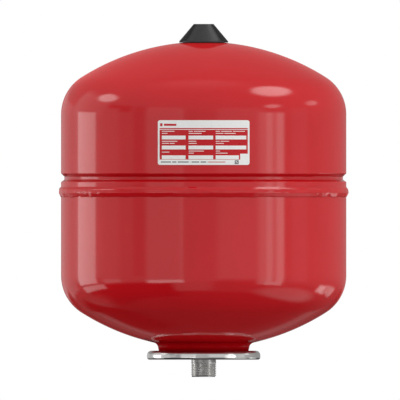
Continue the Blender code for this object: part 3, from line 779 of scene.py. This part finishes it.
def make_label(white, red, grey):
    """Foil with a header, a red panel of empty fields and a foot line; all text is plain bars."""
    low, high = LABEL_BOTTOM_Z / MM, LABEL_TOP_Z / MM
    half = math.asin(LABEL_EDGE / (SHELL_RADIUS + 0.6 * MM)) * SHELL_RADIUS / MM
    label_layer(
        "label_foil_base", [(-half, half, low, high)], 0.05, 0.32, white, "rating_label", corner=2.3
    )

    margin = 1.9
    left, right = -half + margin, half - margin
    panel_top, panel_bottom = high - 10.0, low + 5.6
    notch_left, notch_top = right - 8.3, low + 11.8
    columns = ((left + 2.5, left + 28.0), (left + 31.1, left + 57.0), (left + 59.6, right - 1.7))
    row_tops = (panel_top - 6.2, panel_top - 16.7, panel_top - 27.0)
    field_height = 4.0

    red_plates = [
        (left, right, high - 9.4, high - 8.2),
        (left, right, notch_top, panel_top),
        (left, notch_left, panel_bottom, notch_top),
        (left + 0.6, left + 3.2, high - 6.4, high - 3.2),
        (left + 4.8, left + 18.2, high - 5.9, high - 3.7),
        (left + 52.0, left + 70.0, low + 2.6, low + 3.4),
    ]
    label_layer("label_red_print", red_plates, 0.32, 0.35, red)

    white_plates = []
    word_lengths = (((13.5,), (6.0,)), ((4.5, 12.0), (13.5,)), ((4.5, 11.5, 13.0), (8.0, 12.0)),
                    ((16.5,), (7.5, 5.0)), ((8.0,), (8.5,)), ((4.0, 9.0), (8.5,)),
                    ((8.0,), ()), ((16.0,), (5.5,)), ((4.5,), (12.5,)))
    for index, lines in enumerate(word_lengths):
        column, row_top = columns[index % 3], row_tops[index // 3]
        end = min(column[1], notch_left - 1.4) if index == 8 else column[1]
        white_plates.append((column[0], end, row_top - field_height, row_top))
        for line, words in enumerate(lines):
            line_top = row_top + 4.9 - 2.2 * line - (1.1 if index == 6 else 0)
            start = column[0] + 0.2
            for length in words:
                white_plates.append((start, start + length, line_top - 0.65, line_top))
                start += length + 1.1
    label_layer("label_fields", white_plates, 0.35, 0.375, white)

    grey_plates = []
    start = left + 1.4
    for length in (11.0, 4.5, 11.5, 0.4, 8.0, 6.0, 0.4):
        grey_plates.append((start, start + length, low + 2.5, low + 3.6))
        start += length + 1.4
    square = right - 14.2
    for row in range(4):
        for column in range(4):
            if (row + column) % 2 == 0 or row in (0, 3) or column in (0, 3):
                corner_x, corner_z = square + column * 1.05, low + 0.9 + row * 1.0
                grey_plates.append((corner_x, corner_x + 1.0, corner_z, corner_z + 0.95))
    label_layer("label_grey_print", grey_plates, 0.32, 0.35, grey)


# ---------------------------------------------------------------- studio


# What surrounds the vessel, as (azimuth, elevation, half width, half height, soft edge, radiance, round).
# Degrees; azimuth 0 is behind the camera and turns towards +X. Later patches cover earlier ones.
PATCHES = (
    (-72, -35, 48, 19, 9, 0.05, 0),        # dark floor, left
    (-130, -37, 20, 9, 12, 0.27, 1),
    (-8, -27, 18, 13, 8, 0.62, 0),         # lighter floor in front
    (30, -28, 22, 14, 12, 0.33, 0),
    (86, -37, 35, 12, 8, 1.05, 1),         # bright floor, right
    (-155, -38, 16, 12, 8, 0.02, 0),
    (-171, -12, 13, 6, 6, 0.05, 0),        # dark wall behind the vessel
    (168, -11, 11, 5, 5, 0.08, 0),
    (-146, 0, 23, 9, 4, 0.68, 0),
    (-141, -12, 12, 5, 4, 0.62, 0),
    (-175, -28, 12, 3, 4, 0.25, 0),        # faint strip far behind
    (172, -26, 11, 4, 4, 0.26, 0),
    (-108, 14, 22, 16, 10, 1.00, 0),
    (-74, 12, 12, 7, 6, 0.36, 0),
    (-54, 8, 5, 10, 4, 0.48, 0),
    (-32, 3, 15, 14, 4, 1.03, 0),          # broad panel left of the camera
    (-18, 0, 1.4, 12, 1, 1.25, 0),
    (-1, 0, 14, 14, 3, 0.68, 0),
    (31, 4, 20, 12, 8, 0.98, 0),
    (84, 0, 9, 12, 6, 0.88, 0),
    (-82, 0, 9, 12, 6, 0.85, 0),
    (57, -8, 11.5, 13, 7, 1.70, 0),        # curtained wall round the right window
    (-111, -5, 12.5, 8.2, 2, 2.95, 0),     # left window, upper panes
    (-107, -20, 15, 4.2, 3, 2.05, 0),      # left window, lower panes
    (-81, -11, 9, 3.5, 3, 1.35, 0),
    (-32, -14.5, 15.5, 3.6, 2.5, 3.3, 0),  # bright strip low on the left
    (55, -9.5, 2.7, 12.5, 1.2, 2.6, 0),    # right window, two panes
    (65, -9.5, 3.3, 12.5, 1.2, 2.7, 0),
    (60, -18, 7.5, 3.5, 2, 2.8, 0),
    (120, -19, 7, 5, 4, 3.2, 0),
    (132, -17, 9, 5, 4, 1.5, 0),
    (60, 18.5, 7.5, 3.8, 3, 3.3, 1),       # small lamps
    (103.5, 18.5, 7.5, 3.8, 3, 2.3, 1),
    (-96, 30, 11.5, 7.2, 4, 4.2, 1),
    (82, 51, 24, 11.5, 6, 4.9, 1),         # key light, high on the right
)
# Backdrop radiance by elevation: seen towards the camera's side, and behind the vessel
FRONT_LEVELS = ((-90, 0.11), (-45, 0.14), (-25, 0.42), (-10, 0.66), (8, 0.72), (60, 0.71), (90, 0.95))
BACK_LEVELS = ((-90, 0.11), (-45, 0.06), (-15, 0.13), (0, 0.40), (30, 0.32), (66, 0.44), (90, 0.95))


class WorldNodes:
    """Short calls for the math of the studio's world shader."""

    def __init__(self, tree):
        self.tree = tree

    def socket(self, node, values):
        for index, value in enumerate(values):
            if isinstance(value, (int, float)):
                node.inputs[index].default_value = value
            else:
                self.tree.links.new(value, node.inputs[index])
        return node.outputs[0]

    def math(self, operation, *values):
        node = self.tree.nodes.new("ShaderNodeMath")
        node.operation = operation
        return self.socket(node, values)

    def smooth(self, value, low, high, start, end):
        """Smooth step of value from start at low to end at high."""
        node = self.tree.nodes.new("ShaderNodeMapRange")
        node.interpolation_type = "SMOOTHSTEP"
        return self.socket(node, (value, low, high, start, end))

    def mix(self, factor, first, second):
        node = self.tree.nodes.new("ShaderNodeMix")
        for name, value in (("Factor", factor), ("A", first), ("B", second)):
            if isinstance(value, (int, float)):
                node.inputs[name].default_value = value
            else:
                self.tree.links.new(value, node.inputs[name])
        return node.outputs["Result"]


def levels(world, elevation, stops):
    """Radiance that follows the stops (elevation, radiance), smoothly from each to the next."""
    value = stops[0][1]
    for (low, _), (high, radiance) in zip(stops, stops[1:]):
        share = world.smooth(elevation, low, high, 0.0, 1.0)
        value = world.mix(share, value, radiance)
    return value


def build_world():
    """Soft studio: white to the camera, and to all other rays a room of soft panels and windows."""
    studio = bpy.data.worlds.new("studio")
    studio.use_nodes = True
    tree = studio.node_tree
    tree.nodes.clear()
    world = WorldNodes(tree)
    direction = tree.nodes.new("ShaderNodeTexCoord").outputs["Generated"]
    split = tree.nodes.new("ShaderNodeSeparateXYZ")
    tree.links.new(direction, split.inputs[0])
    x, y, z = split.outputs
    azimuth = world.math("DEGREES", world.math("ARCTAN2", x, world.math("MULTIPLY", y, -1.0)))
    elevation = world.math("DEGREES", world.math("ARCSINE", z))

    behind = world.smooth(world.math("ABSOLUTE", azimuth), 75.0, 165.0, 0.0, 1.0)
    radiance = world.mix(
        behind, levels(world, elevation, FRONT_LEVELS), levels(world, elevation, BACK_LEVELS)
    )
    for centre, height, half_width, half_height, soft, level, is_round in PATCHES:
        across = world.math("ABSOLUTE", world.math("SUBTRACT", azimuth, centre))
        up = world.math("ABSOLUTE", world.math("SUBTRACT", elevation, height))
        if is_round:
            far = world.math(
                "SQRT",
                world.math(
                    "ADD",
                    world.math("POWER", world.math("DIVIDE", across, half_width), 2.0),
                    world.math("POWER", world.math("DIVIDE", up, half_height), 2.0),
                ),
            )
            edge = soft / half_height / 2
            share = world.smooth(far, 1 - edge, 1 + edge, 1.0, 0.0)
        else:
            share = world.math(
                "MULTIPLY",
                world.smooth(across, half_width - soft / 2, half_width + soft / 2, 1.0, 0.0),
                world.smooth(up, half_height - soft / 2, half_height + soft / 2, 1.0, 0.0),
            )
        radiance = world.mix(share, radiance, level)

    background = tree.nodes.new("ShaderNodeBackground")
    background.inputs["Color"].default_value = (1, 1, 1, 1)
    camera_ray = tree.nodes.new("ShaderNodeLightPath").outputs["Is Camera Ray"]
    tree.links.new(world.mix(camera_ray, radiance, 1.0), background.inputs["Strength"])
    output = tree.nodes.new("ShaderNodeOutputWorld")
    tree.links.new(background.outputs[0], output.inputs["Surface"])
    bpy.context.scene.world = studio


def build_floor():
    """Plain pale floor well below the vessel, which hangs on its pipe; it takes no part in the lighting."""
    half, height = 9.0, -0.35
    mesh = bpy.data.meshes.new("floor")
    corners = [(-half, -half, height), (half, -half, height), (half, half, height), (-half, half, height)]
    mesh.from_pydata(corners, [], [(0, 1, 2, 3)])
    paper = Shading("floor_paper", (0.95, 0.95, 0.95), 0.9)
    paper.shader.inputs["Emission Color"].default_value = (1, 1, 1, 1)
    paper.shader.inputs["Emission Strength"].default_value = 0.6
    mesh.materials.append(paper.material)
    floor = bpy.data.objects.new("floor", mesh)
    bpy.context.scene.collection.objects.link(floor)
    floor.visible_diffuse = False
    floor.visible_glossy = False
    floor.visible_shadow = False


def build_camera():
    """Level camera in front of the label, far enough away to show no perspective."""
    view_width = 0.4206
    camera = bpy.data.cameras.new("camera")
    camera.type = "ORTHO"
    camera.ortho_scale = view_width
    piece = bpy.data.objects.new("camera", camera)
    piece.location = (-0.00386, -3.0, 0.1861)
    piece.rotation_euler = (math.pi / 2, 0, 0)
    bpy.context.scene.collection.objects.link(piece)
    bpy.context.scene.camera = piece


# ---------------------------------------------------------------- assembly


def build():
    red = red_coat()
    zinc = galvanised_steel()
    steel = turned_steel()
    yellow_metal = brass()
    rubber = black_rubber()
    plastic = black_plastic()
    wire = spring_steel()
    white_print = print_material("label_foil", (0.94, 0.94, 0.92), 0.04, 1.6)
    red_print = print_material("label_red_ink", (0.60, 0.008, 0.014), 0.08, 1.35)
    grey_print = print_material("label_grey_ink", (0.11, 0.11, 0.11), 0.15, 1.5)

    make_upper_shell(red)
    make_lower_shell(red)
    make_seam_weld(red)
    make_cover_flange(zinc)
    make_connection_nipple(steel)
    make_nipple_weld(steel)
    make_bladder(rubber)
    make_valve_fittings(steel, red, rubber)
    make_valve_stem(yellow_metal)
    make_valve_core(yellow_metal, rubber, wire)
    make_dust_cap(plastic, rubber)
    make_protective_cap(plastic)
    make_label(white_print, red_print, grey_print)

    build_world()
    build_floor()
    build_camera()
    bpy.context.scene.view_settings.view_transform = "Standard"


build()
